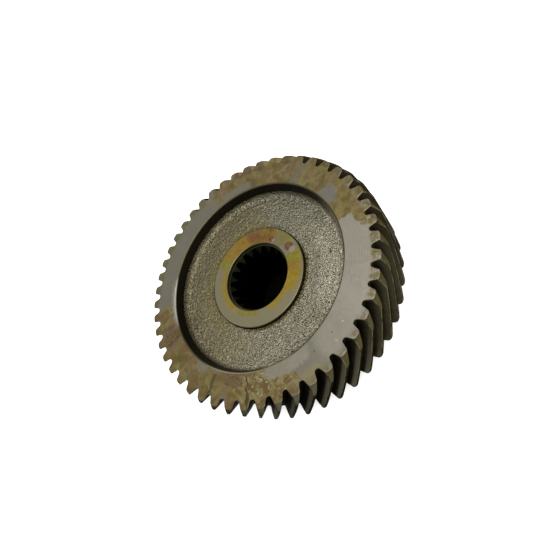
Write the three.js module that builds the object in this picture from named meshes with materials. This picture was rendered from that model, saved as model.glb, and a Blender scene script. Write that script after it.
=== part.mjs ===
// A helical gear: a toothed steel rim on a forged web, around a hub with a splined bore.
//
// Millimetres, +Z up. The gear's axis is Z. The gear lies on the back end of its hub (z = 0) with
// its front side up, and one tooth is centred on +X where it meets the rim's front face.

import * as THREE from "three";

const deg = THREE.MathUtils.degToRad;

// Teeth. The cutter's module, pressure angle and helix angle set every other size of the toothing.
const TOOTH_COUNT = 47;
const NORMAL_MODULE = 2.25;
const NORMAL_PRESSURE_ANGLE = deg(20);
const HELIX_ANGLE = deg(32.5); // right hand: the teeth turn anticlockwise on their way up
const ADDENDUM = 2.7; // deep teeth, 1.2 modules above the pitch circle
const DEDENDUM = 3.5;
const ROOT_FILLET = 0.9;

// Rim
const FACE_WIDTH = 29.6;
const FRONT_CHAMFER = { drop: 2.3, length: 5.2 }; // long pointing chamfer at the front of each tooth
const BACK_CHAMFER = { drop: 1.3, length: 1 };
const RECESS_RADIUS = 47.35; // edge of the recess in either face of the rim
const RIM_BORE = 45.9;
const RECESS_WALL = 4.7; // axial length of the tapered wall between the two radii

// Web
const WEB_DEPTH = 8; // below either face of the rim
const WEB_FILLET = 3.5;
const WEB_SHOULDER = 0.6; // rise beside the hub
const JOINT_GAP = 0.3;

// Hub. It stands back from the front face of the rim and well proud of the back face.
const HUB_RADIUS = 25.8;
const HUB_LENGTH = 33.5;
const HUB_FRONT_DEPTH = 5.9; // below the rim's front face
const HUB_EDGE_BREAK = 0.5;

// Spline in the bore, with straight flanks
const SPLINE_TEETH = 18;
const SPLINE_MODULE = 1.75;
const SPLINE_FLANK_ANGLE = deg(30);
const SPLINE_MAJOR_RADIUS = 16.8;
const SPLINE_MINOR_RADIUS = 14.4;
const SPLINE_PHASE = deg(7.3); // a space of the spline is centred here
const MOUTH_RADIUS = 17.6; // plain counterbore in front of the spline
const MOUTH_DEPTH = 1.8;
const LEAD_IN = 2.6; // axial length of the tapered ends of the spline teeth

const ROUND_SEGMENTS = 96;
const TOOTH_STEPS = 3; // facets along the middle of a tooth

// Derived sizes
const PITCH_RADIUS = (NORMAL_MODULE * TOOTH_COUNT) / (2 * Math.cos(HELIX_ANGLE));
const PRESSURE_ANGLE = Math.atan(Math.tan(NORMAL_PRESSURE_ANGLE) / Math.cos(HELIX_ANGLE));
const BASE_RADIUS = PITCH_RADIUS * Math.cos(PRESSURE_ANGLE);
const TIP_RADIUS = PITCH_RADIUS + ADDENDUM;
const ROOT_RADIUS = PITCH_RADIUS - DEDENDUM;
const FLANK_START = ROOT_RADIUS + ROOT_FILLET;
const PITCH_ANGLE = (2 * Math.PI) / TOOTH_COUNT;
const TWIST = Math.tan(HELIX_ANGLE) / PITCH_RADIUS; // radians per millimetre
const HUB_FRONT = HUB_LENGTH;
const RIM_FRONT = HUB_FRONT + HUB_FRONT_DEPTH;
const RIM_BACK = RIM_FRONT - FACE_WIDTH;

const involute = (angle) => Math.tan(angle) - angle;

// Half the angle that a tooth takes up at a radius
function halfTooth(radius) {
  const atPitch = Math.PI / (2 * TOOTH_COUNT) + involute(PRESSURE_ANGLE);
  return atPitch - involute(Math.acos(BASE_RADIUS / radius));
}

function polar(radius, angle) {
  return new THREE.Vector2(radius * Math.cos(angle), radius * Math.sin(angle));
}

function circlePoints(radius) {
  const points = [];
  for (let i = 0; i < ROUND_SEGMENTS; i++) {
    points.push(polar(radius, (2 * Math.PI * i) / ROUND_SEGMENTS));
  }
  return points;
}

// Section of the toothing at full depth: gap, root fillet, involute flank, tip, and back down
function gearPoints() {
  const flank = [FLANK_START, PITCH_RADIUS, TIP_RADIUS];
  const filletRadius = ROOT_RADIUS + 0.3 * ROOT_FILLET;
  const filletAngle = halfTooth(FLANK_START) + (0.5 * ROOT_FILLET) / ROOT_RADIUS;
  const points = [];
  for (let tooth = 0; tooth < TOOTH_COUNT; tooth++) {
    const centre = tooth * PITCH_ANGLE;
    points.push(polar(ROOT_RADIUS, centre - PITCH_ANGLE / 2));
    points.push(polar(filletRadius, centre - filletAngle));
    for (const radius of flank) {
      points.push(polar(radius, centre - halfTooth(radius)));
    }
    for (const radius of [...flank].reverse()) {
      points.push(polar(radius, centre + halfTooth(radius)));
    }
    points.push(polar(filletRadius, centre + filletAngle));
  }
  return points;
}

// Section of the splined bore: each space is widest at the minor radius
function splinePoints() {
  const pitchRadius = (SPLINE_MODULE * SPLINE_TEETH) / 2;
  const pitchHalfWidth = (Math.PI * SPLINE_MODULE) / 4;
  const halfSpace = (radius) =>
    (pitchHalfWidth - (radius - pitchRadius) * Math.tan(SPLINE_FLANK_ANGLE)) / radius;
  const points = [];
  for (let space = 0; space < SPLINE_TEETH; space++) {
    const centre = SPLINE_PHASE + (2 * Math.PI * space) / SPLINE_TEETH;
    points.push(polar(SPLINE_MINOR_RADIUS, centre - halfSpace(SPLINE_MINOR_RADIUS)));
    points.push(polar(SPLINE_MAJOR_RADIUS, centre - halfSpace(SPLINE_MAJOR_RADIUS)));
    points.push(polar(SPLINE_MAJOR_RADIUS, centre + halfSpace(SPLINE_MAJOR_RADIUS)));
    points.push(polar(SPLINE_MINOR_RADIUS, centre + halfSpace(SPLINE_MINOR_RADIUS)));
  }
  return points;
}

// Extrudes a section with a hole through the given heights, then lets place(radius, angle, z) move
// every vertex. place returns the vertex's radius and angle at that height.
function extrudeThrough(outline, hole, heights, place) {
  const shape = new THREE.Shape(outline);
  shape.holes.push(new THREE.Path(hole));
  const steps = heights.length - 1;
  const geometry = new THREE.ExtrudeGeometry(shape, { depth: steps, steps, bevelEnabled: false });
  const position = geometry.attributes.position;
  for (let i = 0; i < position.count; i++) {
    const z = heights[Math.round(position.getZ(i))];
    const radius = Math.hypot(position.getX(i), position.getY(i));
    const angle = Math.atan2(position.getY(i), position.getX(i));
    const placed = place(radius, angle, z);
    const point = polar(placed.radius, placed.angle);
    position.setXYZ(i, point.x, point.y, z);
  }
  geometry.computeVertexNormals();
  return geometry;
}

// Tip radius of the teeth at a height, with the chamfers at both ends
function tipRadius(z) {
  const front = FRONT_CHAMFER.drop * Math.max(0, 1 - (RIM_FRONT - z) / FRONT_CHAMFER.length);
  const back = BACK_CHAMFER.drop * Math.max(0, 1 - (z - RIM_BACK) / BACK_CHAMFER.length);
  return TIP_RADIUS - front - back;
}

// Radius of the rim's inner wall at a height: a bore with a taper out to either face
function rimBore(z) {
  const fromFace = Math.min(RIM_FRONT - z, z - RIM_BACK);
  const taper = Math.max(0, 1 - fromFace / RECESS_WALL);
  return RIM_BORE + (RECESS_RADIUS - RIM_BORE) * taper;
}

// A flank point keeps its share of the flank when a chamfer shortens the tooth
function placeOnRim(radius, angle, z) {
  const twist = (z - RIM_FRONT) * TWIST;
  if (radius < (RIM_BORE + ROOT_RADIUS) / 2) {
    return { radius: rimBore(z), angle };
  }
  if (radius < FLANK_START - 1e-3) {
    return { radius, angle: angle + twist };
  }
  const share = (radius - FLANK_START) / (TIP_RADIUS - FLANK_START);
  const trimmed = FLANK_START + share * (tipRadius(z) - FLANK_START);
  const centre = Math.round(angle / PITCH_ANGLE) * PITCH_ANGLE;
  const side = Math.sign(angle - centre);
  return { radius: trimmed, angle: centre + side * halfTooth(trimmed) + twist };
}

function toothedRim() {
  const chamferEnd = RIM_FRONT - FRONT_CHAMFER.length;
  const wallEnd = RIM_BACK + RECESS_WALL;
  const heights = [RIM_BACK, RIM_BACK + BACK_CHAMFER.length];
  for (let i = 0; i <= TOOTH_STEPS; i++) {
    heights.push(wallEnd + ((chamferEnd - wallEnd) * i) / TOOTH_STEPS);
  }
  heights.push(RIM_FRONT);
  return extrudeThrough(gearPoints(), circlePoints(RIM_BORE), heights, placeOnRim);
}

// One side of the web's section, from the hub out to the rim, as radius and depth below the face
function webSide() {
  const inner = HUB_RADIUS + JOINT_GAP;
  const outer = RIM_BORE - JOINT_GAP;
  const points = [
    new THREE.Vector2(inner, WEB_DEPTH - WEB_SHOULDER),
    new THREE.Vector2(inner + 1.2, WEB_DEPTH - 0.8 * WEB_SHOULDER),
    new THREE.Vector2(inner + 3, WEB_DEPTH),
  ];
  const arcSteps = 4;
  for (let i = 0; i <= arcSteps; i++) {
    const turn = (Math.PI / 2) * (i / arcSteps);
    const radius = outer - WEB_FILLET + WEB_FILLET * Math.sin(turn);
    points.push(new THREE.Vector2(radius, WEB_DEPTH - WEB_FILLET * (1 - Math.cos(turn))));
  }
  return points;
}

// A lathe turns a profile about Y. This one is closed on itself and is then stood up along Z.
function webDisc() {
  const front = webSide().map((p) => new THREE.Vector2(p.x, RIM_FRONT - p.y));
  const back = webSide().map((p) => new THREE.Vector2(p.x, RIM_BACK + p.y));
  const profile = [...back, ...front.reverse(), back[0]];
  const geometry = new THREE.LatheGeometry(profile, ROUND_SEGMENTS);
  geometry.rotateX(Math.PI / 2);
  return geometry;
}

// Smallest radius that the bore may have at a height: the counterbore and the lead-in tapers
function boreClearance(z) {
  const front = HUB_FRONT - MOUTH_DEPTH - z;
  const fromEnd = Math.min(front, z);
  const taper = Math.max(0, 1 - fromEnd / LEAD_IN);
  if (front < 0) {
    return MOUTH_RADIUS;
  }
  return SPLINE_MINOR_RADIUS + (SPLINE_MAJOR_RADIUS - SPLINE_MINOR_RADIUS) * taper;
}

function placeOnHub(radius, angle, z) {
  if (radius > (HUB_RADIUS + MOUTH_RADIUS) / 2) {
    const fromEnd = Math.min(z, HUB_FRONT - z);
    return { radius: radius - Math.max(0, HUB_EDGE_BREAK - fromEnd), angle };
  }
  return { radius: Math.max(radius, boreClearance(z)), angle };
}

function splinedHub() {
  const shoulder = HUB_FRONT - MOUTH_DEPTH;
  const heights = [
    0,
    HUB_EDGE_BREAK,
    LEAD_IN,
    shoulder - LEAD_IN,
    shoulder,
    HUB_FRONT - HUB_EDGE_BREAK,
    HUB_FRONT,
  ];
  return extrudeThrough(circlePoints(HUB_RADIUS), splinePoints(), heights, placeOnHub);
}

function addPart(group, name, geometry, color, roughness, metalness) {
  const material = new THREE.MeshStandardMaterial({ color, roughness, metalness });
  const mesh = new THREE.Mesh(geometry, material);
  mesh.name = name;
  group.add(mesh);
}

const gear = new THREE.Group();
addPart(gear, "toothed_rim", toothedRim(), 0x9b968a, 0.42, 0.9);
addPart(gear, "web_disc", webDisc(), 0x857f70, 0.75, 0.8);
addPart(gear, "splined_hub", splinedHub(), 0xa39a84, 0.4, 0.9);

export default gear;
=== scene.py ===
"""A used helical gear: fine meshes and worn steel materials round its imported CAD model.

Lengths in the geometry functions are millimetres, as in the CAD model, and Surface.piece turns
them into Blender's metres. The gear's axis is Z, its front side is up and tooth 0 is centred on +X.
"""

import math

import bpy
import numpy as np
from mathutils import Matrix, Vector, noise


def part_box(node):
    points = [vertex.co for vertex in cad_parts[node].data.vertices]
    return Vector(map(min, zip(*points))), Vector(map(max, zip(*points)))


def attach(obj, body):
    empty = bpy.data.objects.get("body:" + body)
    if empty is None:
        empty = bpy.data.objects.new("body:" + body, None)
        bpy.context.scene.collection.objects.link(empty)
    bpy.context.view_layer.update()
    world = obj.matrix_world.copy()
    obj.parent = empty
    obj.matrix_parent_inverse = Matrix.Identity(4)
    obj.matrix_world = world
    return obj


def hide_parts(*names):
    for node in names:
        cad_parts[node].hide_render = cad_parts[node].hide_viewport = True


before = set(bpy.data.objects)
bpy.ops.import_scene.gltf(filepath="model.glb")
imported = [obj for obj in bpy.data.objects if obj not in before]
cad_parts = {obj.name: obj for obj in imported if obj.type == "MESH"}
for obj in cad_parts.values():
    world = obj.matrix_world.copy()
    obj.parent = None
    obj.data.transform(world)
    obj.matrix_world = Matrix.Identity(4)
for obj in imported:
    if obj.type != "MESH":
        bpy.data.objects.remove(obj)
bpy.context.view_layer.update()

MM = 0.001

# Heights and radii that the CAD model gives
rim_low, rim_high = (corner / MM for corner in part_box("toothed_rim"))
hub_low, hub_high = (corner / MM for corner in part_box("splined_hub"))
RIM_BACK = rim_low.z
RIM_FRONT = rim_high.z
HUB_BACK = hub_low.z
HUB_FRONT = hub_high.z
HUB_RADIUS = (hub_high.x - hub_low.x) / 2

# Teeth, as in the CAD model
TOOTH_COUNT = 47
NORMAL_MODULE = 2.25
NORMAL_PRESSURE_ANGLE = math.radians(20)
HELIX_ANGLE = math.radians(32.5)
ADDENDUM = 2.7
DEDENDUM = 3.5
ROOT_FILLET = 1.1
FLANK_WEAR = {"root": 0.22, "tip": 0.15}
FRONT_CHAMFER = {"drop": 2.3, "length": 5.2}
BACK_ROUND = {"drop": 0.8, "length": 1.4}
BACK_NOSE = {"inset": 0.35, "length": 1.8}
TIP_ROUND = 0.45
END_TIP_ROUND = 1.5
FACE_EDGE = 0.14
INNER_OUTLINE = 1.6 * FACE_EDGE
FACE_MARGIN = 1.4

PITCH_RADIUS = NORMAL_MODULE * TOOTH_COUNT / (2 * math.cos(HELIX_ANGLE))
PRESSURE_ANGLE = math.atan(math.tan(NORMAL_PRESSURE_ANGLE) / math.cos(HELIX_ANGLE))
BASE_RADIUS = PITCH_RADIUS * math.cos(PRESSURE_ANGLE)
TIP_RADIUS = PITCH_RADIUS + ADDENDUM
ROOT_RADIUS = PITCH_RADIUS - DEDENDUM
FLANK_START = ROOT_RADIUS + ROOT_FILLET
PITCH_ANGLE = 2 * math.pi / TOOTH_COUNT
TWIST = math.tan(HELIX_ANGLE) / PITCH_RADIUS

# Rim, web and hub
RECESS_RADIUS = 47.35
RIM_BORE = 45.9
RECESS_WALL = 4.7
RECESS_EDGE = 0.7
WEB_DEPTH = 8
WEB_FILLET = 3.5
WEB_SHOULDER = 0.6
HUB_GAP = 0.3
HUB_EDGE_BREAK = 0.3

# Spline
SPLINE_TEETH = 18
SPLINE_MODULE = 1.75
SPLINE_FLANK_ANGLE = math.radians(30)
SPLINE_MAJOR_RADIUS = 16.8
SPLINE_MINOR_RADIUS = 14.4
SPLINE_PHASE = math.radians(7.3)
MOUTH_RADIUS = 17.6
MOUTH_DEPTH = 1.8
MOUTH_EDGE = 0.25
BORE_EDGE = 0.15
LEAD_IN = 2.6

FLOOR_GLOW = 0.3

# How fine the meshes are
GAP_STEPS = 8
FLANK_STEPS = 6
ROUND_STEPS = 3
LAND_STEPS = 3
TOOTH_POINTS = 2 * (GAP_STEPS + FLANK_STEPS + ROUND_STEPS + LAND_STEPS)
FINE_PER_COARSE = 4
FINE_COUNT = TOOTH_COUNT * TOOTH_POINTS
COARSE_COUNT = FINE_COUNT // FINE_PER_COARSE
LIP_STEPS = 4
FACE_RINGS = 24
WEB_COUNT = 800
LEAD_STEPS = 5
HUB_FACE_RINGS = 30


# ---------------------------------------------------------------- camera, light and floor


def make_camera():
    data = bpy.data.cameras.new("camera")
    data.lens = 25.287
    data.sensor_width = 36
    data.shift_x = 0.0091
    data.shift_y = 0.0262
    data.clip_start = 0.005
    right = Vector((0.84625, 0.10337, -0.52266))
    up = Vector((0.08130, 0.94446, 0.31842))
    back = Vector((0.52655, -0.31195, 0.79084))
    place = Vector((104.56, -64.32, RIM_FRONT + 137.43)) * MM
    camera = bpy.data.objects.new("camera", data)
    aim = Matrix((right, up, back)).transposed().to_4x4()
    round_axis = Matrix.Rotation(math.radians(-0.35), 4, "Z")
    camera.matrix_world = round_axis @ Matrix.Translation(place) @ aim
    bpy.context.scene.collection.objects.link(camera)
    bpy.context.scene.camera = camera


def make_sun(towards, angle, strength):
    """A wide, soft light that shines alike on everything, from the direction given."""
    data = bpy.data.lights.new("overhead", "SUN")
    data.angle = math.radians(angle)
    data.energy = strength
    light = bpy.data.objects.new("overhead", data)
    light.rotation_mode = "QUATERNION"
    light.rotation_quaternion = Vector(towards).to_track_quat("Z", "Y")
    bpy.context.scene.collection.objects.link(light)


def make_world(brightness):
    world = bpy.data.worlds.new("studio")
    world.use_nodes = True
    background = world.node_tree.nodes["Background"]
    background.inputs["Color"].default_value = (1, 1, 1, 1)
    background.inputs["Strength"].default_value = brightness
    bpy.context.scene.world = world


def make_stage_mesh(name, points, faces, material):
    mesh = bpy.data.meshes.new(name)
    mesh.from_pydata(points, [], faces)
    mesh.materials.append(material)
    thing = bpy.data.objects.new(name, mesh)
    bpy.context.scene.collection.objects.link(thing)


def make_floor(half_side, pad_radius, pad_height):
    """A pale, faintly lit floor, with a near-black pad under the hub: painted shade seen through the
    bore.
    """
    shader = Shader("pale_floor")
    cloud = shader.noise(shader.place, 0.004, 2)
    colour = shader.mix(cloud, shade(244, 244, 243), shade(248, 248, 248))
    shader.fill(shader.surface.inputs["Emission Color"], (1, 1, 1, 1))
    shader.fill(shader.surface.inputs["Emission Strength"], FLOOR_GLOW)
    shader.finish(colour, 0.9, 0.0)
    level = (HUB_BACK - pad_height) * MM
    corners = [(-1, -1), (1, -1), (1, 1), (-1, 1)]
    points = [(x * half_side, y * half_side, level) for x, y in corners]
    make_stage_mesh("floor", points, [(0, 1, 2, 3)], shader.material)

    # Painted shade: the near-black pad seen through the bore.
    shader = Shader("dark_pad")
    cloud = shader.noise(shader.place, 0.5, 3)
    shader.fill(shader.surface.inputs["Specular IOR Level"], 0.0)
    shader.finish(shader.mix(cloud, shade(5, 5, 4), shade(8, 8, 7)), 0.9, 0.0)
    sides = 64
    turns = [2 * math.pi * i / sides for i in range(sides)]
    points = [
        (pad_radius * MM * math.cos(turn), pad_radius * MM * math.sin(turn), height * MM)
        for height in (HUB_BACK - pad_height, HUB_BACK)
        for turn in turns
    ]
    faces = [(i, (i + 1) % sides, sides + (i + 1) % sides, sides + i) for i in range(sides)]
    faces.append(tuple(range(sides, 2 * sides)))
    make_stage_mesh("dark_pad", points, faces, shader.material)


# ---------------------------------------------------------------- shader nodes


def shade(red, green, blue):
    """A colour in 0 to 255 display values, as the linear colour that a shader takes."""
    linear = [((value / 255 + 0.055) / 1.055) ** 2.4 for value in (red, green, blue)]
    return (*linear, 1.0)


class Shader:
    """A material's node tree, with short calls for the nodes that the finishes are made of."""

    def __init__(self, name):
        self.material = bpy.data.materials.new(name)
        self.material.use_nodes = True
        self.tree = self.material.node_tree
        self.surface = self.tree.nodes["Principled BSDF"]
        coordinates = self.tree.nodes.new("ShaderNodeTexCoord").outputs["Object"]
        self.place = self.vector("SCALE", coordinates, scale=1 / MM)
        self.radius, self.outward = self.polar(self.place)

    def fill(self, socket, value):
        if isinstance(value, bpy.types.NodeSocket):
            self.tree.links.new(value, socket)
        else:
            socket.default_value = value

    def math(self, operation, first, second=0.0, third=0.0):
        node = self.tree.nodes.new("ShaderNodeMath")
        node.operation = operation
        self.fill(node.inputs[0], first)
        self.fill(node.inputs[1], second)
        self.fill(node.inputs[2], third)
        return node.outputs[0]

    def vector(self, operation, first, second=(0, 0, 0), scale=1.0):
        node = self.tree.nodes.new("ShaderNodeVectorMath")
        node.operation = operation
        self.fill(node.inputs[0], first)
        self.fill(node.inputs[1], second)
        self.fill(node.inputs[3], scale)
        number = operation in ("DOT_PRODUCT", "LENGTH")
        return node.outputs[1 if number else 0]

    def polar(self, place):
        """A place's radius in mm, and its direction from the axis."""
        flat = self.vector("MULTIPLY", place, (1, 1, 0))
        return self.vector("LENGTH", flat), self.vector("NORMALIZE", flat)

    def facing(self, x, y):
        """How well a place's direction from the axis agrees with another: 1 where it is the same."""
        return self.vector("DOT_PRODUCT", self.outward, (x, y, 0))

    def noise(self, place, scale, detail=2.0, roughness=0.5, output="Factor", swirl=0.0):
        node = self.tree.nodes.new("ShaderNodeTexNoise")
        self.fill(node.inputs["Vector"], place)
        node.inputs["Distortion"].default_value = swirl
        node.inputs["Scale"].default_value = scale
        node.inputs["Detail"].default_value = detail
        node.inputs["Roughness"].default_value = roughness
        return node.outputs[1 if output == "Color" else 0]

    def cells(self, place, scale):
        node = self.tree.nodes.new("ShaderNodeTexVoronoi")
        self.fill(node.inputs["Vector"], place)
        node.inputs["Scale"].default_value = scale
        return node.outputs["Distance"]

    def hairlines(self, place, scale, width):
        """Thin winding lines: 0 on them and 1 between them."""
        winding = self.noise(place, scale, 1, 0.5, swirl=2.0)
        off = self.math("ABSOLUTE", self.math("SUBTRACT", winding, 0.5))
        return self.step(off, width * 0.4, width)

    def step(self, value, low, high, start=0.0, end=1.0):
        """A soft step from start, where value is low, to end, where it is high."""
        node = self.tree.nodes.new("ShaderNodeMapRange")
        node.interpolation_type = "SMOOTHSTEP"
        for socket, number in zip(node.inputs, (value, low, high, start, end)):
            self.fill(socket, number)
        return node.outputs[0]

    def mix(self, share, first, second, blend="MIX"):
        node = self.tree.nodes.new("ShaderNodeMix")
        node.data_type = "RGBA"
        node.blend_type = blend
        self.fill(node.inputs[0], share)
        self.fill(node.inputs[6], first)
        self.fill(node.inputs[7], second)
        return node.outputs[2]

    def tinted(self, colour, value, low, high, dark, light):
        """A colour made darker where value is low and lighter where it is high."""
        amount = self.step(value, low, high, dark, light)
        return self.vector("SCALE", colour, scale=amount)

    def wander(self, amount, scale):
        """The place, moved about by noise, for ragged edges."""
        shift = self.noise(self.place, scale, 4, 0.6, "Color")
        shift = self.vector("SUBTRACT", shift, (0.5, 0.5, 0.5))
        return self.vector("ADD", self.place, self.vector("SCALE", shift, scale=amount))

    def streaks(self, across, along, detail=4.0, seed=0.0, swirl=0.0):
        """Noise drawn out along the radius: patches `across` radians wide and `along` mm long."""
        turn = self.vector("SCALE", self.outward, scale=1 / across)
        rise = self.tree.nodes.new("ShaderNodeCombineXYZ")
        self.fill(rise.inputs[0], seed)
        self.fill(rise.inputs[2], self.math("DIVIDE", self.radius, along))
        return self.noise(self.vector("ADD", turn, rise.outputs[0]), 1.0, detail, 0.6, swirl=swirl)

    def rings(self, per_mm):
        """Noise that changes with the radius only, as a lathe tool leaves it."""
        across = self.tree.nodes.new("ShaderNodeCombineXYZ")
        self.fill(across.inputs[0], self.radius)
        return self.noise(across.outputs[0], per_mm)

    def grooves(self, per_mm, waver):
        """Even turning marks: light and dark rings, a little wavering."""
        swing = self.math("MULTIPLY", self.math("SUBTRACT", self.rings(0.4), 0.5), waver)
        turns = self.math("MULTIPLY", self.radius, per_mm * 2 * math.pi)
        wave = self.math("SINE", self.math("ADD", turns, swing))
        return self.math("MULTIPLY_ADD", wave, 0.5, third=0.5)

    def bump(self, height, depth, under=None):
        node = self.tree.nodes.new("ShaderNodeBump")
        node.inputs["Strength"].default_value = 1.0
        node.inputs["Distance"].default_value = depth * MM
        self.fill(node.inputs["Height"], height)
        if under is not None:
            self.fill(node.inputs["Normal"], under)
        return node.outputs["Normal"]

    def stained_and_shaded(self, colour, stains, paints, fray, ragged):
        """Lays stains and painted light and shade over a colour. Each is a stretch of angle and
        radius, and fray, a noise, eats into its edge."""
        radius, outward = self.polar(ragged)
        worn = self.math("MULTIPLY", self.math("SUBTRACT", fray, 0.5), 1.5)
        for spot in stains:
            angle = math.radians(spot["angle"])
            wide = math.radians(spot["half_angle"])
            deep = spot["half_depth"]
            towards = self.vector("DOT_PRODUCT", outward, (math.cos(angle), math.sin(angle), 0))
            in_angle = self.step(towards, math.cos(wide * 1.6), math.cos(wide * 0.4))
            off = self.math("ABSOLUTE", self.math("SUBTRACT", radius, spot["radius"]))
            in_radius = self.step(off, deep * 0.4, deep * 1.6, 1, 0)
            field = self.math("MULTIPLY", in_angle, in_radius)
            field = self.math("ADD", field, self.math("MULTIPLY", worn, spot["fray"]))
            soft = spot["soft"]
            share = self.step(field, 0.5 - soft, 0.5 + soft, 0, spot["strength"])
            colour = self.mix(share, colour, paints[spot["paint"]])
        return colour

    def spot(self, colour, paint, angle, radius, size, strength):
        """Lays a soft round spot over a colour, its centre at an angle and radius."""
        turn = math.radians(angle)
        centre = (radius * math.cos(turn), radius * math.sin(turn), 0)
        flat = self.vector("MULTIPLY", self.place, (1, 1, 0))
        away = self.vector("LENGTH", self.vector("SUBTRACT", flat, centre))
        return self.mix(self.step(away, size * 0.45, size, strength, 0), colour, paint)

    def finish(self, colour, roughness, metallic, normal=None):
        self.fill(self.surface.inputs["Base Color"], colour)
        self.fill(self.surface.inputs["Roughness"], roughness)
        self.fill(self.surface.inputs["Metallic"], metallic)
        if normal is not None:
            self.fill(self.surface.inputs["Normal"], normal)
        return self.material


def stain_or_shading(paint, angle, half_angle, radius, half_depth, strength=1.0, fray=1.0, soft=0.13):
    return {
        "paint": paint,
        "angle": angle,
        "half_angle": half_angle,
        "radius": radius,
        "half_depth": half_depth,
        "strength": strength,
        "fray": fray,
        "soft": soft,
    }


# ---------------------------------------------------------------- materials

RIM_STAINS_AND_SHADING = [
    # Painted light: the pale stretches at 5 and 332 degrees brighten the face on the side towards
    # the lamp.
    stain_or_shading("pale", 5, 26, 56, 12, 0.9, 0.3, 0.4),
    stain_or_shading("pale", 332, 14, 56, 12, 0.7, 0.3, 0.4),
    stain_or_shading("brown", 30, 6, 50, 8, 1.0, 0.8),
    stain_or_shading("brown", 30, 14, 60, 5, 1.0, 0.8),
    stain_or_shading("grey", 40, 5, 49.5, 3.5, 1.0, 0.9, 0.3),
    stain_or_shading("brown", 56, 9, 56, 10),
    stain_or_shading("brown", 92, 26, 56, 10, 1.0, 0.7),
    stain_or_shading("grey", 66, 2.4, 54, 7, 0.5, 0.8, 0.4),
    stain_or_shading("brown", 130, 5, 60, 3.5, 0.7),
    stain_or_shading("grey", 107, 9, 49.5, 3.0, 0.85, 1.2, 0.4),
    stain_or_shading("orange", 81, 2.6, 48.2, 1.0, 0.9, 0.4, 0.3),
    stain_or_shading("pink", 77, 4, 61, 2.5, 0.8),
    stain_or_shading("pink", 98, 8, 60.5, 3.0, 0.8),
    stain_or_shading("olive", 160, 30, 62, 3.6, 0.9, 0.5, 0.2),
    stain_or_shading("brown", 226, 26, 56, 12, 1.0, 0.7),
    stain_or_shading("pink", 214, 5, 54, 5, 0.7),
    stain_or_shading("brown", 257, 6, 56, 11),
    stain_or_shading("brown", 284, 16, 58, 12, 1.0, 0.7),
    stain_or_shading("pink", 272, 7, 50.5, 3.0, 0.8),
    stain_or_shading("faded", 303, 9, 60.5, 4, 0.9, 0.9, 0.3),
    stain_or_shading("mottled", 6, 19, 62.2, 3.1, 0.9, 0.7),
    stain_or_shading("mottled", 325, 16, 62.8, 1.6, 0.6, 0.9),
    stain_or_shading("mottled", 34, 10, 61, 3, 0.6, 1.3),
    stain_or_shading("rusty", 288, 12, 56, 9, 0.85, 0.8, 0.25),
    stain_or_shading("clean", 300, 11, 49, 4.5, 0.9, 0.8, 0.3),
    stain_or_shading("grey", 246, 3.6, 49.6, 2.2, 0.9, 0.8, 0.3),
    stain_or_shading("grey", 256, 3, 48.6, 1.2, 0.6, 0.6, 0.4),
    stain_or_shading("dark", 218, 0.35, 54, 7, 0.5),
    stain_or_shading("dark", 256, 0.6, 56, 6, 0.6),
    stain_or_shading("dark", 277, 0.5, 56, 7, 0.7),
    stain_or_shading("dark", 314, 0.3, 53, 0.3, 0.7, 0.0),
    stain_or_shading("dark", 325, 0.25, 53.5, 0.25, 0.7, 0.0),
    # Painted highlight: the clean and pale stretches at 194 and 196 degrees brighten the face along
    # the recess edge.
    stain_or_shading("clean", 194, 13, 48.2, 1.6, 0.8, 0.0, 0.45),
    stain_or_shading("pale", 196, 9, 48.2, 0.9, 0.9, 0.0, 0.45),
    stain_or_shading("gleam", 323, 0.25, 57, 0.25, 0.6, 0.0),
    stain_or_shading("gleam", 331, 0.35, 55, 0.25, 0.5, 0.0),
]


def lathe_bump(shader, grooves, depth):
    return shader.bump(shader.rings(3.7), depth, shader.bump(grooves, depth))


def heat_film(shader, flow, streaks, fine):
    """The brown film on the rim: flowing patches, some warmer and some cooler."""
    warm = shader.streaks(0.14, 14, 2.0, 7.0, swirl=0.6)
    cool = shader.streaks(0.12, 9, 2.0, 19.0, swirl=0.6)
    film = shader.mix(shader.step(flow, 0.32, 0.68), shade(104, 92, 50), shade(132, 120, 76))
    film = shader.mix(shader.step(warm, 0.4, 0.68, 0, 0.6), film, shade(118, 92, 68))
    film = shader.mix(shader.step(cool, 0.42, 0.74, 0, 0.45), film, shade(130, 122, 92))
    film = shader.tinted(film, streaks, 0.35, 0.65, 0.93, 1.07)
    return shader.tinted(film, fine, 0.3, 0.7, 0.95, 1.05)


def cream_blots(shader, fine):
    """Yellow and cream blots with darker edges, as on the ends of the teeth."""
    speckle = shader.noise(shader.place, 0.5, 3, 0.6)
    blots = shader.mix(shader.step(speckle, 0.38, 0.54), shade(118, 110, 62), shade(136, 126, 104))
    blots = shader.mix(shader.step(speckle, 0.52, 0.66), blots, shade(158, 152, 132))
    return shader.mix(shader.step(fine, 0.36, 0.5, 0.7, 0.0), blots, shade(112, 90, 70))


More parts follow.
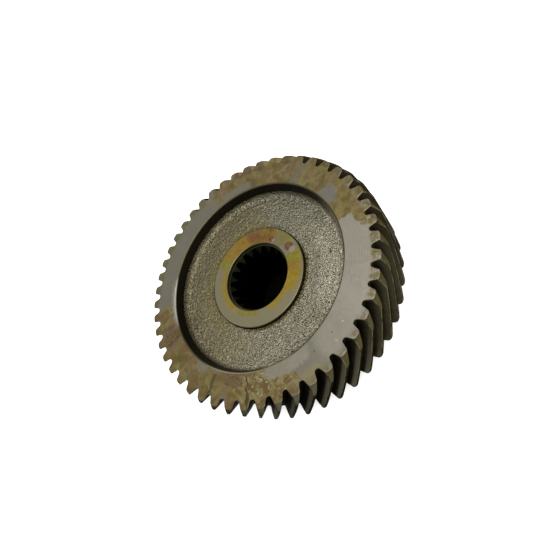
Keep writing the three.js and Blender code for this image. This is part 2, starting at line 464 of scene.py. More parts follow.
def rim_paints(shader, cloud, fine, streaks):
    """The colours that the rim's stains and painted light are painted with."""
    smooth = shader.wander(3.0, 0.12)
    flow = shader.noise(smooth, 0.16, 2, 0.5, swirl=1.5)
    mottle = shader.step(fine, 0.42, 0.58)
    threads = shader.hairlines(smooth, 0.1, 0.012)
    thread = shader.mix(fine, shade(72, 54, 38), shade(140, 128, 98))
    strokes = shader.hairlines(smooth, 0.15, 0.022)
    rusty = shader.mix(shader.step(flow, 0.36, 0.64), shade(106, 86, 56), shade(128, 117, 76))
    return {
        "pale": shader.mix(cloud, shade(143, 138, 124), shade(154, 149, 136)),
        "clean": shader.mix(cloud, shade(132, 127, 112), shade(144, 139, 125)),
        "grey": shader.mix(cloud, shade(116, 111, 97), shade(128, 123, 110)),
        "brown": shader.mix(threads, thread, heat_film(shader, flow, streaks, fine)),
        "faded": shader.mix(cloud, shade(122, 113, 82), shade(138, 130, 102)),
        "orange": shader.mix(mottle, shade(136, 100, 54), shade(148, 112, 64)),
        "pink": shader.mix(mottle, shade(94, 76, 54), shade(114, 97, 74)),
        "olive": shader.mix(mottle, shade(94, 91, 58), shade(114, 110, 76)),
        "mottled": cream_blots(shader, fine),
        "rusty": shader.mix(strokes, shade(158, 150, 120), rusty),
        "gleam": shader.mix(mottle, shade(190, 185, 172), shade(214, 210, 200)),
        "dark": shader.mix(mottle, shade(44, 36, 26), shade(66, 56, 42)),
    }


def machined_face():
    """The rim's turned front face, with brown heat and rust stains between clean stretches, and
    painted light on one side and along part of the recess edge.
    """
    shader = Shader("machined_face")
    cloud = shader.noise(shader.place, 0.12, 5, 0.6)
    fine = shader.noise(shader.place, 0.55, 5, 0.6, swirl=1.5)
    streaks = shader.streaks(0.07, 12, swirl=1.0)
    steel = shader.mix(cloud, shade(112, 108, 93), shade(126, 122, 108))
    paints = rim_paints(shader, cloud, fine, streaks)
    colour = shader.stained_and_shaded(steel, RIM_STAINS_AND_SHADING, paints, streaks, shader.wander(4.0, 0.35))

    # Painted shade: the teeth's ends are darker than the rest, but for one side, where they are
    # painted lighter
    tip_shading = shader.step(shader.facing(-0.57, 0.82), 0.3, 0.8, 0.82, 1.12)
    near_tip = shader.step(shader.radius, 58.5, 61.5)
    colour = shader.mix(near_tip, colour, shader.vector("SCALE", colour, scale=tip_shading))

    # The lathe's marks show most on one side
    marked = shader.step(shader.facing(1.0, 0.05), 0.84, 0.97, 0.12, 1.0)
    grooves = shader.math("MULTIPLY", shader.grooves(0.9, 3.0), marked)
    colour = shader.tinted(colour, grooves, 0, 1, 0.97, 1.06)
    roughness = shader.step(fine, 0.3, 0.7, 0.34, 0.46)
    return shader.finish(colour, roughness, 1.0, lathe_bump(shader, grooves, 0.006))


def tooth_flank():
    """Dark steel with oil on the flanks, with streaks along the helix; painted shade darkens them
    towards the root and painted light brightens them towards the tip.
    """
    shader = Shader("tooth_flank")
    cloud = shader.noise(shader.place, 0.3, 5, 0.6)
    colour = shader.mix(cloud, shade(31, 29, 21), shade(52, 49, 36))
    # Painted shade towards the root and painted light towards the tip.
    colour = shader.tinted(colour, shader.radius, ROOT_RADIUS, TIP_RADIUS, 0.8, 1.75)
    filmed = shader.step(shader.facing(-0.1, 0.99), 0.86, 0.96)
    depth = shader.vector("DOT_PRODUCT", shader.place, (0, 0, 1))
    filmed = shader.math("MULTIPLY", filmed, shader.step(depth, RIM_FRONT - 7, RIM_FRONT - 2))
    colour = shader.mix(filmed, colour, shader.mix(cloud, shade(124, 108, 72), shade(150, 138, 104)))
    # The flanks are darker and redder on one side.
    upper_side = shader.facing(0.8, 0.6)
    upper_dark = shader.mix(cloud, shade(24, 17, 12), shade(42, 33, 25))
    colour = shader.mix(shader.step(upper_side, 0.78, 0.93, 0, 0.75), colour, upper_dark)
    # Painted light: near their tips on the low side the flanks are painted light grey.
    low_side = shader.facing(0.36, -0.93)
    toe = shader.math("MULTIPLY", low_side, shader.step(shader.radius, 60.5, 64.0))
    colour = shader.mix(shader.step(toe, 0.7, 1.0), colour, shade(104, 102, 92))
    rough = shader.noise(shader.place, 1.0, 4, 0.6)
    roughness = shader.step(rough, 0.3, 0.7, 0.4, 0.54)
    shader.fill(shader.surface.inputs["Specular Tint"], shade(30, 29, 25))
    return shader.finish(colour, roughness, 1.0, shader.bump(rough, 0.03))


def tooth_land():
    shader = Shader("tooth_land")
    cloud = shader.noise(shader.place, 0.5, 5, 0.6)
    colour = shader.mix(cloud, shade(46, 42, 29), shade(68, 63, 45))
    shader.fill(shader.surface.inputs["Specular Tint"], shade(110, 105, 90))
    return shader.finish(colour, 0.38, 1.0)


def tooth_chamfer():
    shader = Shader("tooth_chamfer")
    cloud = shader.noise(shader.place, 0.4, 5, 0.6)
    colour = shader.mix(cloud, shade(54, 50, 33), shade(82, 76, 52))
    low_side = shader.facing(0.1, -0.99)
    plain = shader.mix(cloud, shade(62, 61, 52), shade(88, 86, 74))
    colour = shader.mix(shader.step(low_side, 0.75, 0.95), colour, plain)
    shader.fill(shader.surface.inputs["Specular Tint"], shade(120, 115, 98))
    return shader.finish(colour, 0.4, 1.0)


def tip_edge():
    """The corner between a flank and a land, rubbed bright here and there."""
    shader = Shader("tip_edge")
    rubbed = shader.step(shader.noise(shader.place, 0.25, 3, 0.6), 0.4, 0.6)
    colour = shader.mix(rubbed, shade(50, 46, 33), shade(94, 89, 70))
    shader.fill(shader.surface.inputs["Specular Tint"], shade(110, 105, 90))
    return shader.finish(colour, 0.36, 1.0)


def bright_edge():
    shader = Shader("bright_edge")
    cloud = shader.noise(shader.place, 0.8, 5, 0.6)
    colour = shader.mix(cloud, shade(78, 73, 54), shade(122, 116, 94))
    return shader.finish(colour, 0.35, 1.0)


def recess_lip():
    """The rounded edge of the recess, with a painted highlight on one side and painted light on the
    near side.
    """
    shader = Shader("recess_lip")
    cloud = shader.noise(shader.place, 0.4, 5, 0.6)
    colour = shader.mix(cloud, shade(74, 70, 52), shade(94, 89, 69))
    # Painted highlight: the lip takes a bright colour where it faces one way.
    rubbed = shader.facing(-0.965, -0.26)
    bright = shader.mix(cloud, shade(154, 149, 135), shade(180, 176, 163))
    colour = shader.mix(shader.step(rubbed, 0.94, 0.995), colour, bright)
    # Painted light: the lip is lighter on the near side.
    near_side = shader.facing(0.1, -0.99)
    near_lip_light = shader.mix(cloud, shade(138, 130, 100), shade(156, 148, 118))
    colour = shader.mix(shader.step(near_side, 0.84, 0.96), colour, near_lip_light)
    return shader.finish(colour, 0.4, 1.0)


def recess_wall():
    shader = Shader("recess_wall")
    cloud = shader.noise(shader.place, 0.4, 5, 0.6)
    # The wall's dark colour is partly its own grime and partly painted shade in the recess.
    colour = shader.mix(cloud, shade(26, 24, 17), shade(42, 38, 28))
    # Painted light: on one side the wall takes the lighter colour held in worn.
    light_side = shader.facing(0.985, 0.17)
    worn = shader.mix(cloud, shade(136, 130, 108), shade(156, 150, 128))
    colour = shader.mix(shader.step(light_side, 0.78, 0.99), colour, worn)
    return shader.finish(colour, 0.5, 1.0, lathe_bump(shader, cloud, 0.006))


WEB_STAINS_AND_SHADING = [
    stain_or_shading("olive", 180, 80, 36, 12, 0.5, 0.4, 0.4),
    stain_or_shading("olive", 165, 75, 29, 4.5, 0.7, 1.0, 0.3),
    # Painted light: the pale stretch at 5 degrees brightens the web on the side towards the lamp.
    stain_or_shading("pale", 5, 26, 40, 6, 0.9, 0.6, 0.4),
    stain_or_shading("crease", 180, 90, 36.2, 0.35, 0.35, 1.0, 0.25),
    stain_or_shading("crease", 200, 40, 39.5, 0.3, 0.3, 1.0, 0.25),
    # Painted shade: the oil stretch at 325 degrees darkens the web at the foot of the hub on one
    # side.
    stain_or_shading("oil", 325, 55, 26.2, 1.5, 0.9, 0.3, 0.4),
]

WEB_PITS = [
    {"angle": 12.3, "radius": 38.8, "size": 0.8},
    {"angle": -3.0, "radius": 40.0, "size": 0.6},
    {"angle": -5.3, "radius": 37.0, "size": 0.55},
    {"angle": -13.2, "radius": 40.6, "size": 0.55},
    {"angle": -22.1, "radius": 41.6, "size": 0.6},
    {"angle": 28.0, "radius": 39.2, "size": 0.5},
]


def forging_relief(shader, coarse_side, shaded_fillet):
    """Grains, coarsest on one side and on the shaded fillet."""
    grain = shader.noise(shader.place, 2.1, 3, 0.6)
    coarse = shader.step(coarse_side, -0.5, 0.9, 0.62, 1.0)
    coarse = shader.math("ADD", coarse, shader.math("MULTIPLY", shaded_fillet, 0.4))
    return shader.math("MULTIPLY", shader.math("SUBTRACT", grain, 0.5), coarse)


def forging_pits(shader, coarse_side):
    """Fine pits, in patches on the coarse side."""
    pits = shader.step(shader.cells(shader.place, 0.8), 0.14, 0.3, 1, 0)
    pitted = shader.step(shader.noise(shader.place, 0.16, 2), 0.44, 0.56)
    pits = shader.math("MULTIPLY", pits, pitted)
    return shader.math("MULTIPLY", pits, shader.step(coarse_side, -0.2, 0.7))


def forging_edge_light(shader, colour, shaded_side):
    """Painted light: the web's outer edge on the near side and its crest on the shaded side, both
    painted lighter.
    """
    near_side = shader.facing(0.86, -0.51)
    near_edge = shader.step(shader.radius, 42.6, 44.6)
    near_edge = shader.math("MULTIPLY", near_edge, shader.step(near_side, 0.05, 0.4))
    colour = shader.tinted(colour, near_edge, 0, 1, 1.0, 1.5)
    off_crest = shader.math("ABSOLUTE", shader.math("SUBTRACT", shader.radius, 41.0))
    crest = shader.step(off_crest, 0.4, 1.9, 1.0, 0.0)
    crest = shader.math("MULTIPLY", crest, shader.step(shaded_side, 0.1, 0.8))
    return shader.tinted(colour, crest, 0, 1, 1.0, 1.22)


def forging_crease_shade(shader, shaded_side):
    """Painted shade in the crease round the hub, reaching further out on the shaded side."""
    hidden = shader.math("MULTIPLY", shader.math("MAXIMUM", shaded_side, 0), 1.25)
    return shader.step(shader.math("SUBTRACT", shader.radius, hidden), 26.1, 26.5, 0.9, 0.0)


def forged_skin():
    """The web's blasted forging skin: grey grains with dark pits, coarsest on one side."""
    shader = Shader("forged_skin")
    cloud = shader.noise(shader.place, 0.12, 4, 0.55)
    colour = shader.mix(cloud, shade(110, 105, 87), shade(132, 128, 111))
    paints = {
        "olive": shader.mix(cloud, shade(108, 98, 64), shade(126, 117, 84)),
        "pale": shader.mix(cloud, shade(132, 127, 108), shade(150, 146, 130)),
        "crease": shader.mix(cloud, shade(70, 64, 48), shade(84, 78, 60)),
        # The oil colour is painted shade at the foot of the hub.
        "oil": shader.mix(cloud, shade(60, 51, 28), shade(76, 67, 40)),
    }
    colour = shader.stained_and_shaded(colour, WEB_STAINS_AND_SHADING, paints, cloud, shader.wander(1.2, 0.5))
    coarse_side = shader.facing(0.98, -0.17)
    shaded_side = shader.facing(-0.85, 0.53)
    shaded_fillet = shader.step(shader.radius, 41.8, 43.2)
    shaded_fillet = shader.math("MULTIPLY", shaded_fillet, shader.step(shaded_side, -0.3, 0.5))
    relief = forging_relief(shader, coarse_side, shaded_fillet)
    clumps = shader.noise(shader.place, 0.8, 2, 0.5)
    colour = shader.tinted(colour, clumps, 0.35, 0.65, 0.88, 1.14)
    # Painted light and shade on the grains: darker in their hollows and lighter on their tops.
    colour = shader.tinted(colour, relief, -0.09, 0.09, 0.22, 1.66)
    # Painted shade: the fillet on the shaded side is darkened.
    colour = shader.tinted(colour, shaded_fillet, 0, 1, 1.0, 0.75)
    colour = forging_edge_light(shader, colour, shaded_side)
    pits = forging_pits(shader, coarse_side)
    colour = shader.mix(pits, colour, shade(44, 40, 28))
    for pit in WEB_PITS:
        place = (pit["angle"], pit["radius"], pit["size"])
        colour = shader.spot(colour, shade(48, 44, 32), *place, 0.85)
    # Painted shade in the crease round the hub.
    colour = shader.mix(forging_crease_shade(shader, shaded_side), colour, shade(26, 23, 14))
    normal = shader.bump(relief, 0.3)
    normal = shader.bump(pits, -0.1, normal)
    return shader.finish(colour, 0.42, 1.0, normal)


HUB_STAINS = [
    stain_or_shading("yellow", 2, 14, 20.8, 4, 1.0, 1.0, 0.4),
    stain_or_shading("lime", 20, 7, 21.5, 5, 1.0, 1.0, 0.4),
    stain_or_shading("lime", 55, 12, 23.8, 2.6, 1.0, 1.0, 0.4),
    stain_or_shading("brown", 96, 26, 21.5, 5, 1.0, 1.0, 0.4),
    stain_or_shading("yellow", 134, 22, 21.5, 5, 1.0, 1.0, 0.4),
    stain_or_shading("lime", 157, 8, 21.5, 5, 0.8, 1.0, 0.4),
    stain_or_shading("gold", 206, 32, 18.4, 2.5, 0.9, 0.7, 0.5),
    stain_or_shading("lime", 262, 14, 19.2, 1.5, 0.8, 1.4, 0.4),
    stain_or_shading("gold", 320, 18, 18.4, 2.5, 0.9, 0.7, 0.5),
    stain_or_shading("gold", 348, 12, 20.6, 3.6, 1.0, 1.0, 0.4),
    stain_or_shading("pink", 100, 9, 22.5, 2.2, 0.7, 1.0, 0.4),
    stain_or_shading("green", 56, 8, 21.5, 4.5, 0.8, 1.0, 0.4),
]


def hub_face():
    """The hub's turned end, with yellow and brown heat colours in blots round the bore."""
    shader = Shader("hub_face")
    ragged = shader.wander(2.2, 0.45)
    cloud = shader.noise(shader.place, 0.2, 4, 0.55)
    fine = shader.noise(shader.place, 0.5, 4, 0.55, swirl=1.0)
    steel = shader.mix(cloud, shade(124, 118, 90), shade(134, 128, 106))
    mottle = shader.step(fine, 0.3, 0.7)
    paints = {
        "gold": shader.mix(mottle, shade(140, 116, 38), shade(150, 130, 54)),
        "yellow": shader.mix(mottle, shade(132, 104, 46), shade(148, 124, 58)),
        "lime": shader.mix(mottle, shade(124, 114, 44), shade(138, 130, 62)),
        "brown": shader.mix(mottle, shade(114, 82, 44), shade(134, 106, 54)),
        "pink": shader.mix(mottle, shade(112, 76, 52), shade(124, 92, 62)),
        "green": shader.mix(mottle, shade(116, 108, 72), shade(126, 118, 84)),
    }
    colour = shader.stained_and_shaded(steel, HUB_STAINS, paints, cloud, ragged)
    # Painted shade and painted highlight on the two dents: a red-brown shade on one side of each and
    # a pale highlight, held in worn, on the other.
    red = shader.mix(mottle, shade(82, 54, 42), shade(100, 70, 56))
    worn = shader.mix(mottle, shade(150, 130, 112), shade(172, 156, 140))
    colour = shader.spot(colour, red, 39, 21.6, 3.1, 0.95)
    colour = shader.spot(colour, worn, 32, 22.3, 2.4, 0.8)
    colour = shader.spot(colour, red, 71, 19.9, 1.9, 0.8)
    colour = shader.spot(colour, worn, 66, 19.6, 1.3, 0.7)
    return shader.finish(colour, 0.4, 1.0, lathe_bump(shader, shader.grooves(0.9, 3.0), 0.004))


def hub_side():
    shader = Shader("hub_side")
    cloud = shader.noise(shader.place, 0.3, 5, 0.6)
    colour = shader.mix(cloud, shade(84, 74, 44), shade(112, 102, 70))
    return shader.finish(colour, 0.45, 1.0)


def lead_in():
    """The tapered ends of the spline teeth, brown with old oil and darkened by painted shade in the
    bore.
    """
    shader = Shader("lead_in")
    cloud = shader.noise(shader.place, 0.4, 5, 0.6)
    colour = shader.mix(cloud, shade(11, 12, 9), shade(24, 25, 18))
    return shader.finish(colour, 0.42, 1.0)


def mouth():
    """The plain step round the bore's mouth, olive with oil."""
    shader = Shader("mouth")
    cloud = shader.noise(shader.place, 0.4, 5, 0.6)
    colour = shader.mix(cloud, shade(58, 56, 32), shade(86, 82, 52))
    return shader.finish(colour, 0.42, 1.0)


def splined_bore():
    shader = Shader("splined_bore")
    cloud = shader.noise(shader.place, 0.4, 5, 0.6)
    # Near-black: partly the bore's own dark colour, partly painted shade in the bore.
    colour = shader.mix(cloud, shade(9, 9, 7), shade(24, 24, 19))
    return shader.finish(colour, 0.4, 1.0)


# ---------------------------------------------------------------- mesh building


class Surface:
    """A closed mesh, gathered ring by ring round the Z axis. Each band of faces has a finish."""

    def __init__(self, finishes):
        self.finishes = finishes
        self.rings = []
        self.count = 0
        self.faces = []
        self.slots = []

    def ring(self, radius, angle, height):
        """Adds a ring of points and returns their numbers. Any value may be one number."""
        radius, angle, height = np.broadcast_arrays(radius, angle, height)
        points = np.stack([radius * np.cos(angle), radius * np.sin(angle), height], axis=1)
        self.rings.append(points)
        numbers = np.arange(self.count, self.count + len(points))
        self.count += len(points)
        return numbers

    def add_faces(self, faces, finish):
        self.faces.extend(faces.tolist())
        self.slots.extend([list(self.finishes).index(finish)] * len(faces))

    def band(self, first, second, finish):
        """Quads between two rings of as many points."""
        quads = np.stack([first, second, np.roll(second, -1), np.roll(first, -1)], axis=1)
        self.add_faces(quads, finish)

    def split_band(self, first, second, shares):
        """A band of several finishes, each with the quads that it covers marked true."""
        quads = np.stack([first, second, np.roll(second, -1), np.roll(first, -1)], axis=1)
        for finish, covered in shares.items():
            self.add_faces(quads[covered], finish)

    def fan_band(self, coarse, fine, finish, fine_is_second):
        """Faces between a coarse ring and one with FINE_PER_COARSE times its points."""
        groups = fine.reshape(len(coarse), FINE_PER_COARSE)
        closing = np.roll(groups[:, 0], -1)
        steps = np.concatenate([groups, closing[:, None]], axis=1)
        after = np.roll(coarse, -1)
        middle = FINE_PER_COARSE // 2
        triangles = []
        for i in range(FINE_PER_COARSE):
            corner = coarse if i < middle else after
            triangles.append(np.stack([corner, steps[:, i], steps[:, i + 1]], axis=1))
        triangles.append(np.stack([coarse, steps[:, middle], after], axis=1))
        faces = np.concatenate(triangles)
        self.add_faces(faces if fine_is_second else faces[:, ::-1], finish)

    def piece(self, name, node, slot):
        """Makes the Blender object that stands for a CAD node."""
        points = np.concatenate(self.rings)
        mesh = bpy.data.meshes.new(name)
        mesh.from_pydata((points * MM).tolist(), [], self.faces)
        for finish in self.finishes.values():
            mesh.materials.append(finish)
        mesh.polygons.foreach_set("material_index", self.slots)
        mesh.shade_smooth()
        mesh.set_sharp_from_angle(angle=math.radians(34))
        mesh.validate()
        piece = bpy.data.objects.new(name, mesh)
        bpy.context.scene.collection.objects.link(piece)
        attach(piece, "root")
        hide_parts(node)
        return piece


# ---------------------------------------------------------------- toothed rim


def involute(angle):
    return np.tan(angle) - angle


def half_tooth(radius):
    """Half the angle that a tooth takes up at a radius, with its flanks a little worn."""
    at_pitch = math.pi / (2 * TOOTH_COUNT) + involute(PRESSURE_ANGLE)
    share = np.clip((radius - ROOT_RADIUS) / (TIP_RADIUS - ROOT_RADIUS), 0, 1)
    worn = FLANK_WEAR["root"] + (FLANK_WEAR["tip"] - FLANK_WEAR["root"]) * share
    return at_pitch - involute(np.arccos(BASE_RADIUS / radius)) - worn / radius


def half_tooth_outline(tip_radius, tip_round):
    """Radius and angle from the middle of a gap up to the middle of a tooth, measured from the
    tooth's middle."""
    turn = np.linspace(0, math.pi / 2, GAP_STEPS + 1)[:-1]
    gap_radius = ROOT_RADIUS + ROOT_FILLET * (1 - np.cos(turn))
    gap_share = np.sin(turn) ** 0.5
    gap_angle = PITCH_ANGLE / 2 - (PITCH_ANGLE / 2 - half_tooth(gap_radius)) * gap_share

    flank_radius = np.linspace(FLANK_START, tip_radius - tip_round, FLANK_STEPS + 1)[:-1]
    flank_angle = half_tooth(flank_radius)

    turn = np.linspace(0, math.pi / 2, ROUND_STEPS + 1)[:-1]
    corner = half_tooth(tip_radius - tip_round)
    round_angle = tip_round / tip_radius
    round_radius = tip_radius - tip_round * (1 - np.sin(turn))
    round_place = corner - round_angle * (1 - np.cos(turn))

    land_angle = np.linspace(corner - round_angle, 0, LAND_STEPS + 1)[:-1]
    land_radius = np.full(LAND_STEPS, tip_radius)
    radius = np.concatenate([gap_radius, flank_radius, round_radius, land_radius, [tip_radius]])
    angle = np.concatenate([gap_angle, flank_angle, round_place, land_angle, [0]])
    return radius, angle


def tooth_tip(height):
    """The tip's radius at a height, and how round its corners are."""
    front = max(0, 1 - (RIM_FRONT - height) / FRONT_CHAMFER["length"])
    back = max(0, 1 - (height - RIM_BACK) / BACK_ROUND["length"])
    back_drop = BACK_ROUND["drop"] * (1 - math.sqrt(1 - back**2))
    radius = TIP_RADIUS - FRONT_CHAMFER["drop"] * front**1.25 - back_drop
    return radius, TIP_ROUND + (END_TIP_ROUND - TIP_ROUND) * max(front, back)


def gear_outline(height):
    """Radius and angle of the toothing's whole outline at a height."""
    radius, angle = half_tooth_outline(*tooth_tip(height))
    tooth_radius = np.concatenate([radius[:-1], radius[:0:-1]])
    tooth_angle = np.concatenate([-angle[:-1], angle[:0:-1]])
    centres = np.arange(TOOTH_COUNT) * PITCH_ANGLE + (height - RIM_FRONT) * TWIST
    radius, angle = np.tile(tooth_radius, TOOTH_COUNT), (centres[:, None] + tooth_angle).ravel()
    back = max(0, 1 - (height - RIM_BACK) / BACK_NOSE["length"])
    return inset(radius, angle, BACK_NOSE["inset"] * (1 - math.sqrt(1 - back**2)))


def inset(radius, angle, distance):
    """An outline moved into the metal."""
    x, y = radius * np.cos(angle), radius * np.sin(angle)
    along = np.stack([np.roll(x, -1) - np.roll(x, 1), np.roll(y, -1) - np.roll(y, 1)])
    along /= np.hypot(*along)
    x, y = x - along[1] * distance, y + along[0] * distance
    return np.hypot(x, y), np.unwrap(np.arctan2(y, x))


def tooth_bands(surface, first, second, height):
    """One layer of the toothing, with the land told from the flanks and the root."""
    place = np.arange(FINE_COUNT) % TOOTH_POINTS
    place = np.minimum(place, TOOTH_POINTS - 1 - place)
    on_edge = place == GAP_STEPS + FLANK_STEPS + 1
    on_land = (place > GAP_STEPS + FLANK_STEPS) & ~on_edge
    chamfered = RIM_FRONT - height < FRONT_CHAMFER["length"]
    shares = {
        "tooth_chamfer" if chamfered else "tooth_land": on_land,
        "tip_edge": on_edge,
        "tooth_flank": ~on_land & ~on_edge,
    }
    surface.split_band(first, second, shares)


def rim_heights():
    """Heights of the toothing's rings, from the front down."""
    front = RIM_FRONT - FACE_EDGE
    chamfer_end = RIM_FRONT - FRONT_CHAMFER["length"]
    round_start = RIM_BACK + BACK_NOSE["length"]
    chamfer = np.linspace(front, chamfer_end, 7)[:-1]
    middle = np.linspace(chamfer_end, round_start, 14)[:-1]
    share = np.sin(np.linspace(0, math.pi / 2, 8))
    back = round_start - (BACK_NOSE["length"] - FACE_EDGE) * share
    return [*chamfer, *middle, *back]


def coarse_angles(height):
    angle = np.arange(COARSE_COUNT) * 2 * math.pi / COARSE_COUNT - PITCH_ANGLE / 2
    return angle + (height - RIM_FRONT) * TWIST


def fine_angles(height):
    angle = np.arange(FINE_COUNT) * 2 * math.pi / FINE_COUNT - PITCH_ANGLE / 2
    return angle + (height - RIM_FRONT) * TWIST


def edged_outlines(surface, height, distances):
    """The toothing's outline at a face, moved in by each distance."""
    outline = gear_outline(height)
    return [surface.ring(*inset(*outline, distance), height) for distance in distances]


def rim_front(surface, face_radii, outer_ring):
    """The front face, from the recess out to the teeth. Returns its first and last rings."""
    face = [surface.ring(radius, coarse_angles(RIM_FRONT), RIM_FRONT) for radius in face_radii]
    for inner, outer in zip(face, face[1:]):
        surface.band(inner, outer, "machined_face")
    near_teeth = surface.ring(outer_ring, fine_angles(RIM_FRONT), RIM_FRONT)
    surface.fan_band(face[-1], near_teeth, "machined_face", True)
    inner, outer = edged_outlines(surface, RIM_FRONT, [INNER_OUTLINE, FACE_EDGE])
    surface.band(near_teeth, inner, "machined_face")
    surface.band(inner, outer, "machined_face")
    return face[0], outer


def rim_toothing(surface, front_outline):
    """The teeth, from the front down. Returns the last ring."""
    heights = rim_heights()
    layers = [surface.ring(*gear_outline(height), height) for height in heights]
    surface.band(front_outline, layers[0], "bright_edge")
    for upper, lower, height in zip(layers, layers[1:], heights):
        tooth_bands(surface, upper, lower, height)
    return layers[-1]


def rim_back(surface, face_radii, outer_ring, toothing_end):
    """The back face, from the teeth in to the recess. Returns its last ring."""
    outer, inner = edged_outlines(surface, RIM_BACK, [FACE_EDGE, INNER_OUTLINE])
    surface.band(toothing_end, outer, "bright_edge")
    surface.band(outer, inner, "machined_face")
    near_teeth = surface.ring(outer_ring, fine_angles(RIM_BACK), RIM_BACK)
    surface.band(inner, near_teeth, "machined_face")
    face = [surface.ring(radius, coarse_angles(RIM_BACK), RIM_BACK) for radius in face_radii]
    surface.fan_band(face[0], near_teeth, "machined_face", False)
    for outer, inner in zip(face, face[1:]):
        surface.band(outer, inner, "machined_face")
    return face[-1]


def rim_wall(surface, back_end, front_start):
    """The inner wall, from the back up to the front, untwisting on the way."""
    turn = np.linspace(0, math.pi / 2, LIP_STEPS + 1)[1:]
    lip = [
        (RECESS_RADIUS + RECESS_EDGE * (1 - math.sin(a)), RECESS_EDGE * (1 - math.cos(a)))
        for a in turn
    ]
    middle = (RIM_FRONT - RIM_BACK) / 2
    half = [*lip, (RIM_BORE, RECESS_WALL), (RIM_BORE, middle)]
    profile = [(radius, RIM_BACK + depth) for radius, depth in half]
    profile += [(radius, RIM_FRONT - depth) for radius, depth in half[-2::-1]]
    walls = [surface.ring(radius, coarse_angles(height), height) for radius, height in profile]
    surface.band(back_end, walls[0], "machined_face")
    for i, (lower, upper) in enumerate(zip(walls, walls[1:])):
        on_lip = i < LIP_STEPS - 1 or i >= len(walls) - LIP_STEPS
        surface.band(lower, upper, "recess_lip" if on_lip else "recess_wall")
    surface.band(walls[-1], front_start, "recess_lip")


def toothed_rim():
    finishes = {
        "machined_face": machined_face(),
        "tooth_flank": tooth_flank(),
        "tooth_land": tooth_land(),
        "tooth_chamfer": tooth_chamfer(),
        "tip_edge": tip_edge(),
        "bright_edge": bright_edge(),
        "recess_lip": recess_lip(),
        "recess_wall": recess_wall(),
    }
    surface = Surface(finishes)
    outer_ring = ROOT_RADIUS - FACE_MARGIN
    face_radii = np.linspace(RECESS_RADIUS + RECESS_EDGE, outer_ring - 0.4, FACE_RINGS)
    front_start, front_outline = rim_front(surface, face_radii, outer_ring)
    toothing_end = rim_toothing(surface, front_outline)
    back_end = rim_back(surface, face_radii[::-3], outer_ring, toothing_end)
    rim_wall(surface, back_end, front_start)
    return surface.piece("gear_rim", "toothed_rim", "machined_rim")


# ---------------------------------------------------------------- web


def web_profile(steps):
    """Radius and depth below the face, from the hub out to the rim."""
    inner = HUB_RADIUS + HUB_GAP
    corner = RIM_BORE - WEB_FILLET
    radius = np.linspace(inner, RIM_BORE - 0.02, steps)
    rise = WEB_SHOULDER * np.clip(1 - (radius - inner) / 3, 0, 1) ** 2
    rise -= 0.3 * np.clip(1 - (radius - inner) / 0.5, 0, 1)
    into = np.clip(radius - corner, 0, WEB_FILLET)
    fillet = WEB_FILLET - np.sqrt(WEB_FILLET**2 - into**2)
    return radius, WEB_DEPTH - rise - fillet


def roughen(radius, angle, height, side):
    """Heights of a ring with the forging's grain added."""
    place = np.stack([radius * np.cos(angle), radius * np.sin(angle), side * np.ones_like(angle)])
    coarse = 0.15 + 0.15 * np.clip(radius - RIM_BORE + WEB_FILLET, 0, 1)
    rough = np.empty(len(angle))
    for i, (x, y, z) in enumerate(place.T):
        point = Vector((x, y, z * 50))
        swell = noise.noise(point * 0.25) * 0.1
        grain = noise.fractal(point * 0.75, 0.9, 2.1, 3) * coarse
        rough[i] = swell + grain
    return height + side * rough


def web_disc():
    surface = Surface({"forged_skin": forged_skin()})
    angle = np.arange(WEB_COUNT) * 2 * math.pi / WEB_COUNT
    radii, depths = web_profile(76)
    front = []
    for radius, depth in zip(radii, depths):
        heights = roughen(radius, angle, np.full(WEB_COUNT, RIM_FRONT - depth), 1)
        front.append(surface.ring(radius, angle, heights))
    back = []
    radii, depths = web_profile(30)
    for radius, depth in zip(radii[::-1], depths[::-1]):
        heights = roughen(radius, angle, np.full(WEB_COUNT, RIM_BACK + depth), -1)
        back.append(surface.ring(radius, angle, heights))
    rings = [*front, *back]
    for first, second in zip(rings, [*rings[1:], rings[0]]):
        surface.band(first, second, "forged_skin")
    return surface.piece("forged_web", "web_disc", "forged_web")


# ---------------------------------------------------------------- hub


def spline_outline():
    """Radius and angle round the splined bore, one space at a time."""
    pitch_radius = SPLINE_MODULE * SPLINE_TEETH / 2
    half_width = math.pi * SPLINE_MODULE / 4

    def half_space(radius):
        return (half_width - (radius - pitch_radius) * math.tan(SPLINE_FLANK_ANGLE)) / radius

    bottom_half = half_space(SPLINE_MAJOR_RADIUS)
    flank_radius = np.linspace(SPLINE_MAJOR_RADIUS, SPLINE_MINOR_RADIUS, 7)
    flank_angle = half_space(flank_radius)
    land_angle = np.linspace(flank_angle[-1], math.pi / SPLINE_TEETH, 4)[1:]
    bottom_angle = np.linspace(0, bottom_half, 4)[:-1]
    bottom_radius = np.full(3, SPLINE_MAJOR_RADIUS)
    land_radius = np.full(3, SPLINE_MINOR_RADIUS)
    radius = np.concatenate([bottom_radius, flank_radius, land_radius])
    angle = np.concatenate([bottom_angle, flank_angle, land_angle])
    whole_radius = np.concatenate([radius[::-1][:-1], radius[:-1]])
    whole_angle = np.concatenate([-angle[::-1][:-1], angle[:-1]])
    centres = SPLINE_PHASE + np.arange(SPLINE_TEETH) * 2 * math.pi / SPLINE_TEETH
    return np.tile(whole_radius, SPLINE_TEETH), (centres[:, None] + whole_angle).ravel()


DENTS = [
    {"angle": 36, "radius": 22.2, "size": 3.4, "depth": 0.6},
    {"angle": 67, "radius": 19.6, "size": 1.6, "depth": 0.35},
]


def dented(radius, angle, height):
    height = np.full(len(angle), height)
    for dent in DENTS:
        centre = math.radians(dent["angle"])
        away = np.sqrt(
            radius**2 + dent["radius"] ** 2 - 2 * radius * dent["radius"] * np.cos(angle - centre)
        )
        height -= dent["depth"] * np.exp(-((away / dent["size"]) ** 2) * 2)
    return height


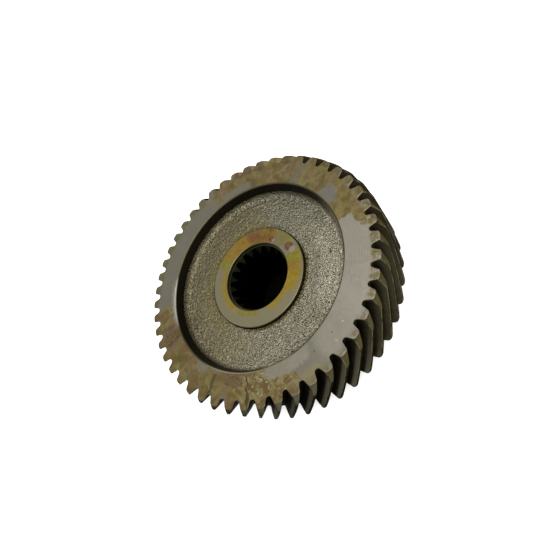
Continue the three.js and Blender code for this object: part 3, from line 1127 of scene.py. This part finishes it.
def hub_outside(surface, angle):
    """The hub's front face, side and back face. Returns the rings at its ends."""
    edge = HUB_RADIUS - HUB_EDGE_BREAK
    face_radii = np.linspace(MOUTH_RADIUS + MOUTH_EDGE, edge, HUB_FACE_RINGS)
    front = [surface.ring(r, angle, dented(r, angle, HUB_FRONT)) for r in face_radii]
    for inner, outer in zip(front, front[1:]):
        surface.band(inner, outer, "hub_face")
    side_top = surface.ring(HUB_RADIUS, angle, HUB_FRONT - HUB_EDGE_BREAK)
    side_bottom = surface.ring(HUB_RADIUS, angle, HUB_BACK + HUB_EDGE_BREAK)
    surface.band(front[-1], side_top, "hub_face")
    surface.band(side_top, side_bottom, "hub_side")
    back_radii = (edge, 21, 18, SPLINE_MAJOR_RADIUS + BORE_EDGE)
    back = [surface.ring(r, angle, HUB_BACK) for r in back_radii]
    surface.band(side_bottom, back[0], "bright_edge")
    for outer, inner in zip(back, back[1:]):
        surface.band(outer, inner, "hub_face")
    return front[0], back[-1]


def hub_bore(surface, spline_radius, angle, back_end):
    """The splined bore, from the back up to the mouth's step. Returns its last ring."""
    shoulder = HUB_FRONT - MOUTH_DEPTH
    lead = np.linspace(0, LEAD_IN, LEAD_STEPS + 1)
    middle = np.linspace(HUB_BACK + LEAD_IN, shoulder - LEAD_IN, 10)[1:-1]
    heights = [HUB_BACK + BORE_EDGE, *(HUB_BACK + lead[1:]), *middle, *(shoulder - lead[::-1])]
    bore = []
    tapered = []
    for height in heights:
        from_end = min(shoulder - height, height - HUB_BACK)
        taper = max(0, 1 - from_end / LEAD_IN)
        clear = SPLINE_MINOR_RADIUS + (SPLINE_MAJOR_RADIUS - SPLINE_MINOR_RADIUS) * taper
        bore.append(surface.ring(np.maximum(spline_radius, clear), angle, height))
        tapered.append(spline_radius < clear - 0.01)
    surface.band(back_end, bore[0], "bright_edge")
    for i in range(len(bore) - 1):
        on_taper = tapered[i] | tapered[i + 1]
        on_taper &= np.roll(on_taper, -1)
        shares = {"lead_in": on_taper, "splined_bore": ~on_taper}
        surface.split_band(bore[i], bore[i + 1], shares)
    return bore[-1]


def splined_hub():
    finishes = {
        "hub_face": hub_face(),
        "hub_side": hub_side(),
        "splined_bore": splined_bore(),
        "lead_in": lead_in(),
        "mouth": mouth(),
        "bright_edge": bpy.data.materials["bright_edge"],
    }
    surface = Surface(finishes)
    spline_radius, angle = spline_outline()
    front_start, back_end = hub_outside(surface, angle)
    bore_end = hub_bore(surface, spline_radius, angle, back_end)
    mouth_floor = surface.ring(MOUTH_RADIUS, angle, HUB_FRONT - MOUTH_DEPTH)
    mouth_top = surface.ring(MOUTH_RADIUS, angle, HUB_FRONT - MOUTH_EDGE)
    surface.band(bore_end, mouth_floor, "mouth")
    surface.band(mouth_floor, mouth_top, "mouth")
    surface.band(mouth_top, front_start, "bright_edge")
    return surface.piece("splined_bore_hub", "splined_hub", "machined_hub")


# ---------------------------------------------------------------- the scene

bpy.context.scene.view_settings.view_transform = "Standard"
make_camera()
make_world(0.82)
make_sun((0.3, -0.15, 0.9), 60, 2.5)
make_floor(3, 24, 0.5)
toothed_rim()
web_disc()
splined_hub()
